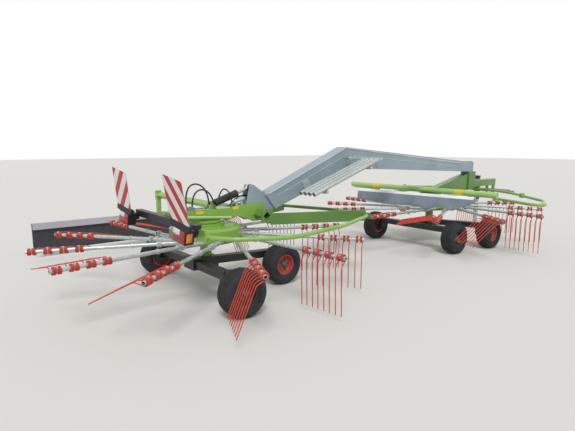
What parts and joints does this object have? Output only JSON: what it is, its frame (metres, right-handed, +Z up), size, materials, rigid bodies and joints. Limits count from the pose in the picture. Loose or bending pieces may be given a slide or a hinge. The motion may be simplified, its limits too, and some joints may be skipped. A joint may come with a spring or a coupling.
{
  "type": "two-rotor trailed rotary rake",
  "caption": "Trailed side rake with two tined rotors, cranked boom, swath curtains, guard hoops, steered rear wheels and a parking jack.",
  "frame": {"origin": "middle of the machine's footprint, on the ground", "axes": "+X forward to the tractor, +Y to the left, +Z up"},
  "size_m": [7.9212, 4.6106, 1.55],
  "materials": {
    "green": "gloss",
    "boom_grey": "satin",
    "black_paint": "satin",
    "galvanised": "matte",
    "tine_red": "satin",
    "rim_red": "satin",
    "tyre": "matte",
    "canvas": "matte",
    "rubber": "matte",
    "steel": "satin",
    "chrome": "gloss",
    "black_plastic": "matte",
    "lens": "gloss",
    "board": "satin"
  },
  "bodies": {
    "front_frame": {"headstock": "green", "link_shaft": "steel", "input_shaft": "steel", "jack_sleeve": "black_paint", "front_carrier": "green", "front_gearbox": "green", "front_chassis": "black_paint", "cross_tube": "green", "front_rail": "green", "curtain_rail": "galvanised", "front_curtain": "canvas"},
    "boom": {"boom": "boom_grey", "shaft_guard": "black_plastic", "rack_rests": "galvanised", "rack_tubes": "galvanised"},
    "rear_frame": {"rear_carrier": "green", "rear_gearbox": "green", "rear_chassis": "black_paint", "guard_frame": "green", "lift_barrel": "black_paint", "lift_rod": "chrome", "light_bar": "black_paint", "lamps": "black_plastic", "lamp_lenses": "lens", "board_stays": "black_paint", "warning_boards": "board"},
    "front_rotor": {"front_bell": "green", "front_tine_arms": "tine_red"},
    "rear_rotor": {"rear_bell": "green", "rear_tine_arms": "tine_red"},
    "curtain_slide": {"curtain_slide": "green", "curtain_bar": "galvanised", "rear_curtain": "rubber"},
    "knuckle_right": {"rear_knuckle_right": "black_paint"},
    "knuckle_left": {"rear_knuckle_left": "black_paint"},
    "rear_hoop_right": {"rear_hoop_right": "green"},
    "front_hoop_right": {"front_hoop_right": "green"},
    "front_hoop_left": {"front_hoop_left": "green"},
    "jack_leg": {"jack_leg": "galvanised"},
    "rear_right_wheel": {"rear_right_tyre": "tyre", "rear_right_rim": "rim_red"},
    "rear_left_wheel": {"rear_left_tyre": "tyre", "rear_left_rim": "rim_red"},
    "rear_nose_wheel": {"rear_nose_tyre": "tyre", "rear_nose_rim": "rim_red"},
    "front_right_wheel": {"front_right_tyre": "tyre", "front_right_rim": "rim_red"},
    "front_left_wheel": {"front_left_tyre": "tyre", "front_left_rim": "rim_red"},
    "front_nose_wheel": {"front_nose_tyre": "tyre", "front_nose_rim": "rim_red"}
  },
  "joints": [
    {"name": "boom_swing", "type": "hinge", "parent": "front_frame", "child": "boom", "pos_m": [3.01559, -0.44866, 1.2], "axis": [0, 0, 1], "range_deg": [-15, 15]},
    {"name": "rear_frame_tilt", "type": "hinge", "parent": "boom", "child": "rear_frame", "pos_m": [-1.61741, -0.44866, 0.858], "axis": [0, 1, 0], "range_deg": [-2.5, 2.5]},
    {"name": "front_rotor_turn", "type": "hinge", "parent": "front_frame", "child": "front_rotor", "pos_m": [1.86559, -0.44866, 0.62], "axis": [0, 0, 1], "continuous": true},
    {"name": "rear_rotor_turn", "type": "hinge", "parent": "rear_frame", "child": "rear_rotor", "pos_m": [-2.28441, -0.44866, 0.62], "axis": [0, 0, 1], "continuous": true},
    {"name": "rear_steer_right", "type": "hinge", "parent": "rear_frame", "child": "knuckle_right", "pos_m": [-2.42441, -1.19866, 0.33], "axis": [0, 0, 1], "range_deg": [-20, 20]},
    {"name": "rear_steer_left", "type": "hinge", "parent": "rear_frame", "child": "knuckle_left", "pos_m": [-2.42441, 0.30134, 0.33], "axis": [0, 0, 1], "range_deg": [-20, 20]},
    {"name": "rear_hoop_right_fold", "type": "hinge", "parent": "rear_frame", "child": "rear_hoop_right", "pos_m": [-0.59441, -1.22866, 0.75], "axis": [-1, 0, 0], "range_deg": [0, 95]},
    {"name": "front_hoop_right_fold", "type": "hinge", "parent": "front_frame", "child": "front_hoop_right", "pos_m": [2.64359, -1.55866, 0.8], "axis": [-1, 0, 0], "range_deg": [0, 95]},
    {"name": "front_hoop_left_fold", "type": "hinge", "parent": "front_frame", "child": "front_hoop_left", "pos_m": [2.64359, 0.66134, 0.8], "axis": [1, 0, 0], "range_deg": [0, 95]},
    {"name": "curtain_reach", "type": "slide", "parent": "rear_frame", "child": "curtain_slide", "axis": [0, 1, 0], "range_m": [-0.6, 0]},
    {"name": "jack_lift", "type": "slide", "parent": "front_frame", "child": "jack_leg", "axis": [0, 0, 1], "range_m": [0, 0.3]},
    {"name": "rear_right_roll", "type": "hinge", "parent": "knuckle_right", "child": "rear_right_wheel", "pos_m": [-2.42441, -1.36866, 0.2285], "axis": [0, 1, 0], "continuous": true},
    {"name": "rear_left_roll", "type": "hinge", "parent": "knuckle_left", "child": "rear_left_wheel", "pos_m": [-2.42441, 0.47134, 0.2285], "axis": [0, 1, 0], "continuous": true},
    {"name": "rear_nose_roll", "type": "hinge", "parent": "rear_frame", "child": "rear_nose_wheel", "pos_m": [-1.48441, -0.75866, 0.2285], "axis": [0, 1, 0], "continuous": true},
    {"name": "front_right_roll", "type": "hinge", "parent": "front_frame", "child": "front_right_wheel", "pos_m": [1.41059, -1.18866, 0.2285], "axis": [0, 1, 0], "continuous": true},
    {"name": "front_left_roll", "type": "hinge", "parent": "front_frame", "child": "front_left_wheel", "pos_m": [1.41059, 0.29134, 0.2285], "axis": [0, 1, 0], "continuous": true},
    {"name": "front_nose_roll", "type": "hinge", "parent": "front_frame", "child": "front_nose_wheel", "pos_m": [2.17559, -1.31866, 0.2285], "axis": [0, 1, 0], "continuous": true}
  ],
  "couplings": [
    {"joint": "rear_steer_left", "follows": "rear_steer_right", "ratio": 1}
  ]
}
